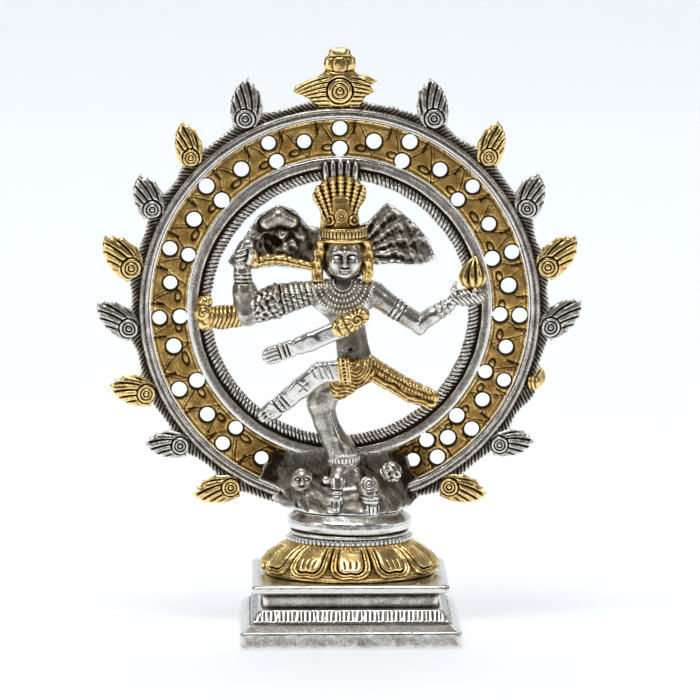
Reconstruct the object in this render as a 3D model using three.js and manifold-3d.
// A dancing figure in a flaming halo on a lotus pedestal: a two-tone cast brass ornament, in millimetres.
// +Z is up and the figure faces -Y. The origin is the middle of the whole ornament, at the level it stands on.
import * as THREE from "three";
import { mergeVertices } from "three/addons/utils/BufferGeometryUtils.js";
import Module from "manifold-3d";

const wasm = await Module();
wasm.setup();

// ---------------------------------------------------------------- driving dimensions
const BASE_X = 2.8; // the pedestal stands this far to one side of the halo's centre
const FOOT = { width: 66.6, depth: 53, height: 5.6 };
const PLINTH_HEIGHT = 18.8;
const WALL = 4;
const LOTUS = { halfWidth: 28, halfDepth: 21.5, height: 9.8 };
const DRUM = { halfWidth: 18.9, halfDepth: 15, height: 7.2 };
const GAP = 0.3; // what the brazed seams keep between two castings
const HALO_Z = 99; // height of the halo's centre
const HALO_Y = 3; // the halo's middle plane stands behind the figure
const BAND = { outer: 57.2, inner: 45.6, thickness: 3.6 };
const OPENING_RADIUS = 38.6;
const BEAD_RADIUS = 60;
const FLANGE_RADIUS = 62.6;
const HOLE_RADIUS = 2.0;
const FLAME_BOSS_RADIUS = 63.6; // from the halo's centre to each flame's boss
const FLAME_LENGTH = 10.8;
const BOLT_RADIUS = 3;

// ---------------------------------------------------------------- finishes
const silver = new THREE.MeshStandardMaterial({ color: 0x8f8b86, roughness: 0.38, metalness: 1 });
const gold = new THREE.MeshStandardMaterial({ color: 0xb08a3c, roughness: 0.36, metalness: 1 });
const steel = new THREE.MeshStandardMaterial({ color: 0x77797c, roughness: 0.45, metalness: 1 });

// ---------------------------------------------------------------- solids from geometries
const vector = (p) => new THREE.Vector3(...p);
const rad = THREE.MathUtils.degToRad;

function solidOf(geometry) {
  const bare = geometry.clone();
  bare.deleteAttribute("normal");
  bare.deleteAttribute("uv");
  const merged = mergeVertices(bare, 1e-4);
  const mesh = new wasm.Mesh({
    numProp: 3,
    vertProperties: new Float32Array(merged.attributes.position.array),
    triVerts: new Uint32Array(merged.index.array),
  });
  return new wasm.Manifold(mesh);
}

function geometryOf(solid) {
  const { vertProperties, triVerts } = solid.getMesh();
  const indexed = new THREE.BufferGeometry();
  indexed.setAttribute("position", new THREE.BufferAttribute(new Float32Array(vertProperties), 3));
  indexed.setIndex(new THREE.BufferAttribute(new Uint32Array(triVerts), 1));
  const geometry = indexed.toNonIndexed();
  geometry.computeVertexNormals();
  return geometry;
}

const join = (...solids) => wasm.Manifold.union(solids);

// A solid and its copies moved four ways, which together stand for the solid grown by the width of a seam.
// The ways are skewed to the axes, so that no copy's flat face slides along another's.
const SEAM_STEP = 0.55;
const SKEW = new THREE.Euler(0.5, 0.3, 0.7);
const WAYS = [[1, 1, 1], [1, -1, -1], [-1, 1, -1], [-1, -1, 1]].map((way) =>
  vector(way).setLength(SEAM_STEP).applyEuler(SKEW).toArray(),
);
const grown = (solid) => join(solid, ...WAYS.map((way) => solid.translate(way)));

function boxesMeet(a, b) {
  const [p, q] = [a.boundingBox(), b.boundingBox()];
  return [0, 1, 2].every((k) => p.min[k] < q.max[k] && q.min[k] < p.max[k]);
}

const largest = (solid) => solid.decompose().sort((a, b) => b.volume() - a.volume())[0];

// A group of castings. One that is put in is drawn clear of the others already; one that is fitted is
// first cut back to a seam from every casting that is in the group before it.
class Assembly extends THREE.Group {
  cutters = [];

  put(name, solid, finish, uncut = solid) {
    this.cutters.push(grown(uncut));
    const mesh = new THREE.Mesh(geometryOf(solid), finish);
    mesh.name = name;
    this.add(mesh);
  }

  fit(name, solid, finish) {
    const near = this.cutters.filter((cutter) => boxesMeet(solid, cutter));
    this.put(name, largest(wasm.Manifold.difference([solid, ...near])), finish, solid);
  }
}

// ---------------------------------------------------------------- shapes that repeat
function ball([x, y, z], [rx, ry, rz], around = 10, high = 6) {
  const geometry = new THREE.SphereGeometry(1, around, high);
  return solidOf(geometry.rotateX(Math.PI / 2).scale(rx, ry, rz).translate(x, y, z));
}

// A limb's length from one point to the next, thick as given at each end, with round ends.
function limb(from, to, startRadius, endRadius, sides = 8) {
  const [a, b] = [vector(from), vector(to)];
  const length = a.distanceTo(b);
  const profile = [];
  for (const [end, radius, turns] of [[0, startRadius, [-90, -40, 0]], [length, endRadius, [0, 40, 90]]]) {
    for (const turn of turns) {
      const reach = Math.abs(turn) === 90 ? 0 : radius * Math.cos(rad(turn));
      profile.push(new THREE.Vector2(reach, end + radius * Math.sin(rad(turn))));
    }
  }
  const geometry = new THREE.LatheGeometry(profile, sides);
  const along = new THREE.Quaternion().setFromUnitVectors(
    new THREE.Vector3(0, 1, 0),
    b.clone().sub(a).normalize(),
  );
  return solidOf(geometry.applyQuaternion(along).translate(a.x, a.y, a.z));
}

// Limbs through a list of [x, y, z, radius].
function limbs(points, sides) {
  const pieces = points
    .slice(1)
    .map((to, k) => limb(points[k].slice(0, 3), to.slice(0, 3), points[k][3], to[3], sides));
  return join(...pieces);
}

// A plate cut to an outline in the X-Z plane, from its front face back.
function plate(shape, front, thickness, curveSegments = 4) {
  const geometry = new THREE.ExtrudeGeometry(shape, {
    depth: thickness,
    bevelEnabled: false,
    curveSegments,
  });
  return solidOf(geometry.rotateX(Math.PI / 2).translate(0, front + thickness, 0));
}

const outline = (points) => new THREE.Shape(points.map(([x, z]) => new THREE.Vector2(x, z)));

// A slab of rounded-rectangle plan, from one height to another, with edges drawn in by a bevel.
function slab(width, depth, low, high, bevel = 0) {
  const corner = 2.2;
  const [w, d] = [width / 2 - bevel, depth / 2 - bevel];
  const plan = new THREE.Shape();
  plan.absarc(w - corner, d - corner, corner, 0, Math.PI / 2);
  plan.absarc(corner - w, d - corner, corner, Math.PI / 2, Math.PI);
  plan.absarc(corner - w, corner - d, corner, Math.PI, Math.PI * 1.5);
  plan.absarc(w - corner, corner - d, corner, Math.PI * 1.5, Math.PI * 2);
  const geometry = new THREE.ExtrudeGeometry(plan, {
    depth: high - low - 2 * bevel,
    bevelEnabled: bevel > 0,
    bevelSize: bevel,
    bevelThickness: bevel,
    bevelSegments: 1,
    curveSegments: 2,
  });
  return solidOf(geometry.translate(0, 0, low + bevel));
}

// A turned piece of oval plan: a profile of [share of the half width, height].
function oval({ halfWidth, halfDepth }, profile, low, around = 28) {
  const points = profile.map(([share, height]) => new THREE.Vector2(share * halfWidth, height));
  const geometry = new THREE.LatheGeometry(points, around).rotateX(Math.PI / 2);
  return solidOf(geometry.scale(1, halfDepth / halfWidth, 1).translate(0, 0, low));
}

function pin(radius, low, high, sides = 16) {
  const geometry = new THREE.CylinderGeometry(radius, radius, high - low, sides);
  return solidOf(geometry.rotateX(Math.PI / 2).translate(0, 0, (low + high) / 2));
}

// A ring about the halo's centre, turned from a closed profile of [radius, y].
function hoop(profile, around = 48) {
  const points = [...profile, profile[0]].map(([r, y]) => new THREE.Vector2(r, HALO_Y + y));
  return solidOf(new THREE.LatheGeometry(points, around));
}

// ---------------------------------------------------------------- pedestal
const pedestal = new Assembly();
pedestal.position.set(BASE_X, 0, 0);

const LOTUS_LOW = PLINTH_HEIGHT + GAP;
const COLLAR_LOW = LOTUS_LOW + LOTUS.height + GAP;
const COLLAR_HEIGHT = 1.4;
const DRUM_LOW = COLLAR_LOW + COLLAR_HEIGHT + GAP;
const DRUM_TOP = DRUM_LOW + DRUM.height;
const SCREW_HOLE = BOLT_RADIUS + GAP;
const BOLT_TOP = DRUM_LOW + 5;

function plinth() {
  const shrink = (by) => [FOOT.width - by, FOOT.depth - by];
  const outside = join(
    slab(FOOT.width, FOOT.depth, 0, FOOT.height),
    slab(...shrink(3.5), FOOT.height - 1, 9.4, 2),
    slab(...shrink(8), FOOT.height - 1, 11.2, 2.4),
    slab(...shrink(12.5), FOOT.height, 17),
    slab(...shrink(7), 15.6, PLINTH_HEIGHT, 1),
  );
  const hollow = slab(FOOT.width - 2 * WALL - 9, FOOT.depth - 2 * WALL - 9, -1, PLINTH_HEIGHT - WALL);
  return outside.subtract(hollow).subtract(pin(SCREW_HOLE, 0, PLINTH_HEIGHT + 1));
}

function lotusCushion() {
  const profile = [
    [0, 0], [0.92, 0], [0.985, 0.7], [1, 1.8], [0.97, 3.6], [0.88, 6], [0.76, 8.2], [0.7, 9.8], [0, 9.8],
  ];
  const cushion = oval(LOTUS, profile, LOTUS_LOW);
  return cushion.subtract(pin(SCREW_HOLE, LOTUS_LOW - 1, COLLAR_LOW));
}

function beadedCollar() {
  const profile = [[0, 0], [1.02, 0], [1.04, 0.7], [1.02, 1.4], [0, 1.4]];
  const ring = oval({ halfWidth: 18.4, halfDepth: 14.8 }, profile, COLLAR_LOW);
  return ring.subtract(pin(SCREW_HOLE, COLLAR_LOW - 1, DRUM_LOW));
}

function drum() {
  const profile = [[0, 0], [0.93, 0], [0.97, 1.2], [1, 2.6], [1, 5.4], [0.95, 6.6], [0.88, 7.2], [0, 7.2]];
  return oval(DRUM, profile, DRUM_LOW).subtract(pin(SCREW_HOLE, DRUM_LOW - 1, BOLT_TOP + GAP));
}

const WASHER = { radius: 6.5, low: PLINTH_HEIGHT - WALL - 1.5, high: PLINTH_HEIGHT - WALL - GAP };
const HEAD_HEIGHT = 4;
const fixingWasher = () =>
  pin(WASHER.radius, WASHER.low, WASHER.high).subtract(pin(SCREW_HOLE, WASHER.low - 1, WASHER.high + 1));
const fixingBolt = () =>
  join(
    pin(5, WASHER.low - GAP - HEAD_HEIGHT, WASHER.low - GAP, 6),
    pin(BOLT_RADIUS, WASHER.low - 1, BOLT_TOP),
  );

pedestal.put("plinth", plinth(), silver);
pedestal.put("lotus_cushion", lotusCushion(), gold);
pedestal.put("beaded_collar", beadedCollar(), silver);
pedestal.put("pedestal_drum", drum(), silver);
pedestal.put("fixing_washer", fixingWasher(), steel);
pedestal.put("fixing_bolt", fixingBolt(), steel);

// ---------------------------------------------------------------- halo
const SEAT_Z = DRUM_TOP + GAP - HALO_Z; // the drum's top as seen from the halo's centre, with its seam
const roomOfDrum = solidOf(new THREE.BoxGeometry(80, 60, 10).translate(0, 0, SEAT_Z - 5));

const upper = new Assembly();
upper.position.set(0, 0, HALO_Z);

// Angles from the top, clockwise in front view, of the stations where the band is drilled: a pair of holes
// and a single hole by turns, closing up towards the foot as the hand-marked pattern does.
const RIGHT_STATIONS = [
  0, 11.5, 22.7, 35.8, 47.4, 60.4, 72, 82.5, 92.5, 103.5, 114, 123, 133, 140.5, 147, 154.6,
];
const LEFT_STATIONS = [-12, -23.2, -35, -47.2, -58.5, -70.4, -81.2, -93, -102.8, -117, -129, -139.2, -152.6];
const PAIR_RADII = [54.4, 48.3];
const SINGLE_RADIUS = 51.4;

const onHalo = (angle, radius) => [radius * Math.sin(rad(angle)), radius * Math.cos(rad(angle))];

function drilledHoles() {
  const stations = [
    ...RIGHT_STATIONS.map((angle, k) => [angle, k % 2 === 0]),
    ...LEFT_STATIONS.map((angle, k) => [angle, k % 2 === 1]),
  ];
  return stations.flatMap(([angle, isPair]) =>
    (isPair ? PAIR_RADII : [SINGLE_RADIUS]).map((radius) => onHalo(angle, radius)),
  );
}

const circlePoints = (radius, sides, [x, z] = [0, 0]) =>
  Array.from({ length: sides }, (_, k) => {
    const turn = (k * 2 * Math.PI) / sides;
    return new THREE.Vector2(x + radius * Math.cos(turn), z + radius * Math.sin(turn));
  });

function piercedBand() {
  const shape = new THREE.Shape(circlePoints(BAND.outer - GAP, 64));
  const opening = circlePoints(BAND.inner + GAP, 56);
  const holes = drilledHoles().map((centre) => circlePoints(HOLE_RADIUS, 8, centre));
  shape.holes = [opening, ...holes].map((points) => new THREE.Path(points));
  return plate(shape, HALO_Y - BAND.thickness / 2, BAND.thickness);
}

const innerRim = () =>
  hoop([
    [BAND.inner, -1.8], [BAND.inner, 2], [43, 2.4], [39.4, 2],
    [OPENING_RADIUS, 0], [39.4, -2], [43, -2.5], [44.8, -2.8],
  ]);
const outerRim = () =>
  hoop([
    [FLANGE_RADIUS, -0.9], [FLANGE_RADIUS, 1.2], [BEAD_RADIUS, 2], [BAND.outer, 2],
    [BAND.outer, -1.9], [58.6, -2.9], [BEAD_RADIUS, -2],
  ]);

upper.put("halo_pierced_band", piercedBand(), gold);
upper.put("halo_inner_rim", innerRim(), silver);
upper.put("halo_outer_rim", outerRim().subtract(roomOfDrum), silver);

// Each flame springs from a round boss on the outer rim and leans towards the top of the halo.
const FLAMES = [
  { at: 26.4, lean: 36, size: 1.06 },
  { at: 44.5, lean: 35, size: 0.95 },
  { at: 62, lean: 48, size: 0.95 },
  { at: 79, lean: 43, size: 1.12 },
  { at: 95.5, lean: 49, size: 1.08 },
  { at: 114, lean: 43, size: 0.98 },
  { at: 131, lean: 50, size: 0.92 },
  { at: 149, lean: 53, size: 1.02 },
];

function flame(at, lean, size, side) {
  const leaf = new THREE.Shape();
  leaf.moveTo(-3, -1);
  leaf.quadraticCurveTo(-4.6, 4.2, -0.6, FLAME_LENGTH);
  leaf.quadraticCurveTo(4.6, 5.6, 3.4, -1);
  leaf.quadraticCurveTo(0.2, -3.4, -3, -1);
  const boss = new THREE.Shape().absarc(0, 0, 2.3, 0, 2 * Math.PI);
  const solid = join(plate(leaf, HALO_Y - 1.3, 2.6, 3), plate(boss, HALO_Y - 2.1, 3, 4));
  const [x, z] = onHalo(side * at, FLAME_BOSS_RADIUS);
  const tilt = side * (at - lean);
  return solid.scale([size, 1, size]).rotate([0, tilt, 0]).translate([x, 0, z]);
}

// One flame on the right, low down, is bent back until only its edge shows.
function bentFlame(at) {
  const [x, z] = onHalo(at, FLAME_BOSS_RADIUS - 0.6);
  return limbs([
    [x, HALO_Y - 0.6, z, 1.7], [x + 0.6, HALO_Y + 4, z + 1, 1.9], [x, HALO_Y + 9, z + 3.4, 1],
  ], 8);
}

FLAMES.forEach(({ at, lean, size }, k) => {
  const finish = k % 2 === 0 ? silver : gold;
  const isBent = k === 5;
  upper.fit(`left_flame_${k + 1}`, flame(at, lean, size, -1), finish);
  upper.fit(`right_flame_${k + 1}`, isBent ? bentFlame(111) : flame(at, lean, size, 1), finish);
});

function crestFinial() {
  const wings = outline([[0, 62], [-7, 63.4], [-14.2, 67.2], [-9, 70.6], [-5.2, 71.2], [-5.2, 77], [-3, 78.4],
    [3, 78.4], [5, 75.6], [5.4, 71.2], [9.4, 69.6], [11.4, 66.2], [6, 63.2]]);
  const boss = new THREE.Shape().absarc(0, 65.4, 3.4, 0, 2 * Math.PI);
  const bud = ball([0, HALO_Y, 74.4], [4.8, 2.9, 4.2]);
  return join(plate(wings, HALO_Y - 1.6, 3.2), plate(boss, HALO_Y - 2.8, 4, 5), bud);
}
upper.fit("crest_finial", crestFinial(), gold);

// ---------------------------------------------------------------- mound and the dwarf the dancer stands on
function mound() {
  const section = outline([
    [-14.6, SEAT_Z], [-17.2, -59], [-18.5, -55.5], [-14.5, -50], [-8, -46.8], [0, -45.6],
    [9, -46.4], [16, -49], [22, -54], [22, -58.5], [19.8, SEAT_Z],
  ]);
  const block = plate(section, -8, 16);
  return join(block, ball([BASE_X, -2, SEAT_Z], [15.5, 11.2, 9])).subtract(roomOfDrum);
}

const dwarfHead = [-11.4, -9.2, -50.6];
function dwarf() {
  const trunk = limbs([[-7.5, -9.5, -53.4, 2.4], [3, -10.6, -56, 2.8], [13, -9, -53.4, 2.4]]);
  const legs = limbs([[8.2, -10.4, -52.2, 1.9], [9.2, -11.6, -55, 1.9], [10.2, -11.8, -60.6, 1.5]]);
  const hips = ball([17, -7.6, -49.2], [3, 2.4, 2.6]);
  return join(trunk, legs, hips, ball(dwarfHead, [3.3, 2.8, 3.4])).subtract(roomOfDrum);
}

// ---------------------------------------------------------------- dancer
const standingLeg = () =>
  join(
    limbs([
      [1.2, -2.2, -20, 4.2], [-5.4, -3.4, -27.6, 4.1], [-3.6, -3.2, -36, 3.1], [-0.4, -3.4, -43.6, 3.9],
    ]),
    limbs([[-0.4, -3.4, -43.6, 3.9], [-1.2, -7.6, -50, 2.8], [-1.2, -11, -56.4, 2.2]]),
  );
const anklet = () => solidOf(
  new THREE.CylinderGeometry(4.5, 4.7, 2.8, 14).rotateX(Math.PI / 2).translate(0.4, -3.6, -44.6),
);
const torso = () =>
  join(
    ball([1.4, -1, 2.6], [8.4, 5, 6.4]),
    limbs([[1.4, -1, 3, 5.2], [3.2, -1, -8, 4.5], [3.4, -1.6, -16.4, 5.2]]),
    limb([1.3, -1, 4], [1.3, -1.4, 10.4], 3.4, 2.8),
  );
const head = () => ball([1.2, -2.6, 15.6], [5.4, 5.1, 6.9], 12, 8);

function crown() {
  const feathers = [-40, -22, 0, 22, 38].map((angle) => {
    const [x, z] = [Math.sin(rad(angle)), Math.cos(rad(angle))];
    return limb([0.4 + 3 * x, -2.6, 26 + 3 * z], [0.2 + 10.6 * x, -1.6, 27.5 + 12.6 * z], 2.4, 1.5, 6);
  });
  return join(
    ball([0.9, -2.4, 23.6], [6.6, 6.1, 3.2]),
    limb([0.7, -2.4, 23], [0.2, -1.9, 36], 5, 4.6),
    ...feathers,
  );
}

const sideLock = (x, low) =>
  limbs([[x, -2.2, 20.4, 1.9], [x * 1.04, -2.4, 14, 2.1], [x * 1.02, -2.4, low, 1.7]]);
const earring = () => ball([8.3, -5, 9.6], [1.5, 1.2, 1.5], 8, 6);

function leftFan() {
  const sheet = outline([
    [6, 25.2], [14.4, 32], [20.9, 27.2], [26.5, 19.9], [28.9, 15.2], [24.5, 13], [14.4, 13.7], [8, 12.6],
  ]);
  return plate(sheet, -0.6, 3);
}
function rightFan() {
  const sheet = outline([
    [-5.4, 24.8], [-9, 24.8], [-11.4, 27.6], [-17.9, 31.3], [-24, 28], [-29.2, 21.6], [-33.6, 14],
    [-32.2, 12.4], [-27, 13], [-19.4, 14.2], [-9.4, 12.4],
  ]);
  const hollow = ball([-17.6, -1.4, 20.6], [6, 2.4, 4]);
  return plate(sheet, -0.8, 3.2).subtract(hollow);
}
const serpent = () =>
  limbs([
    [-25.4, -2.4, 14.4, 1.5], [-20, -2.8, 15.8, 1.7], [-14.6, -2.6, 15.2, 1.7], [-9.6, -2.4, 13.4, 1.5],
  ], 8);

function necklace() {
  const places = [[-7.4, -4, 8.2], [-3.6, -6.6, 4], [1.2, -7.6, 1.8], [5.6, -6.6, 3.8], [9, -4, 7.8]];
  const drape = new THREE.CatmullRomCurve3(places.map(vector));
  const section = new THREE.Shape().absarc(0, 0, 1.3, 0, 2 * Math.PI);
  return solidOf(new THREE.ExtrudeGeometry(section, { extrudePath: drape, steps: 12, curveSegments: 3 }));
}

const rightUpperArm = () => limbs([[-8.4, -1.4, 4.9, 3.9], [-17, -2, 3.2, 4.4], [-22.6, -2.2, 0.9, 5]]);
const raisedForearm = () => limbs([[-28.6, -2.6, 0.4, 4], [-29.4, -3, 6.4, 3.3], [-29.5, -3.2, 12.2, 2.5]]);
const raisedHand = () =>
  join(limb([-29.2, -3.4, 13.6], [-28.2, -3.6, 19.4], 2.6, 1.8), ball([-27.2, -4.8, 15.6], [1.7, 1.6, 2.2]));
const drumForearm = () => limbs([[-31.4, -2, -1.4, 3.4], [-36.4, -2, -2, 3.3], [-39.6, -1.4, -1.6, 2.9]]);
const handDrum = () => join(ball([-41, -1.8, 1], [2.8, 2.4, 2.6]), ball([-40.8, -2.6, -2], [2.4, 2, 2.4]));
const flameUpperArm = () => limbs([[11, -1.6, 5.6, 4], [17, -2, 0.2, 3.5], [22.6, -2.4, -4.4, 3.2]]);
const flameForearm = () => limbs([[22.6, -2.4, -4.4, 3.2], [27.4, -2.6, -1.6, 2.8], [32.4, -2.6, 1.6, 2.2]]);
const flameHand = () =>
  join(limb([34.2, -2.6, 3.2], [40.6, -2.6, 4.4], 2.4, 2.9), ball([40, -2.6, 6.2], [3.6, 2.6, 2]));
const palmFlame = () => limbs([[39.4, -2.8, 10, 3], [40.4, -2.8, 12.6, 2.9], [40.4, -2.6, 15.8, 1.1]]);
const swingArmlet = () => limbs([[7.2, -6.4, 0.2, 3], [3.2, -8.8, -2.4, 3.1], [-0.2, -9.4, -4.3, 2.7]]);
const swingArm = () => limbs([[1.4, -9, -3.8, 2.5], [-9, -10, -8.4, 2.4], [-16.6, -10, -11.2, 2.3]]);
const swingHand = () => join(limb([-15.8, -10, -10.9], [-21.1, -9.8, -12.7], 2.4, 2.5));
const kilt = () =>
  join(ball([5.2, -3.6, -18.4], [5.2, 4.2, 4.2]), limb([-1.6, -3, -22], [-2.2, -4, -24.4], 3.6, 4.2));
const thighBand = () => limb([2.6, -7, -17.6], [0.6, -8, -17.8], 3.2, 3.2);
const raisedLeg = () => limbs([[2, -7.6, -17.6, 2.9], [-7, -9.4, -18.2, 2.8], [-16.4, -8.6, -26.2, 2.6]]);
const raisedFoot = () => limb([-17.6, -8.2, -27.2], [-22, -6.4, -30.4], 2.6, 2.5);
const sash = () =>
  limbs([[9, -2.2, -17, 3.6], [14.8, -1.9, -20.6, 3.1], [20.6, -1.6, -24.4, 3], [26.8, -1.2, -27, 2.8]]);

upper.fit("mound", mound(), silver);
upper.fit("torso", torso(), silver);
upper.fit("standing_leg", standingLeg(), silver);
upper.fit("anklet", anklet(), silver);
upper.fit("dwarf", dwarf(), silver);
upper.fit("head", head(), silver);
upper.fit("crown", crown(), gold);
upper.fit("right_side_lock", sideLock(-7.2, 9.4), gold);
upper.fit("left_side_lock", sideLock(8, 10.6), gold);
upper.fit("earring", earring(), gold);
upper.fit("right_hair_fan", rightFan(), silver);
upper.fit("left_hair_fan", leftFan(), silver);
upper.fit("serpent", serpent(), gold);
upper.fit("necklace", necklace(), silver);
upper.fit("right_upper_arm", rightUpperArm(), silver);
upper.fit("raised_forearm", raisedForearm(), silver);
upper.fit("raised_hand", raisedHand(), silver);
upper.fit("drum_forearm", drumForearm(), gold);
upper.fit("hand_drum", handDrum(), gold);
upper.fit("flame_upper_arm", flameUpperArm(), silver);
upper.fit("flame_forearm", flameForearm(), silver);
upper.fit("flame_hand", flameHand(), silver);
upper.fit("palm_flame", palmFlame(), gold);
upper.fit("swing_armlet", swingArmlet(), gold);
upper.fit("swing_arm", swingArm(), silver);
upper.fit("swing_hand", swingHand(), silver);
upper.fit("kilt", kilt(), gold);
upper.fit("thigh_band", thighBand(), gold);
upper.fit("raised_leg", raisedLeg(), silver);
upper.fit("raised_foot", raisedFoot(), silver);
upper.fit("sash", sash(), gold);

const statue = new THREE.Group();
statue.add(pedestal, upper);
statue.position.x = 0.45; // the flames reach a little further to one side of the halo than to the other
export default statue;
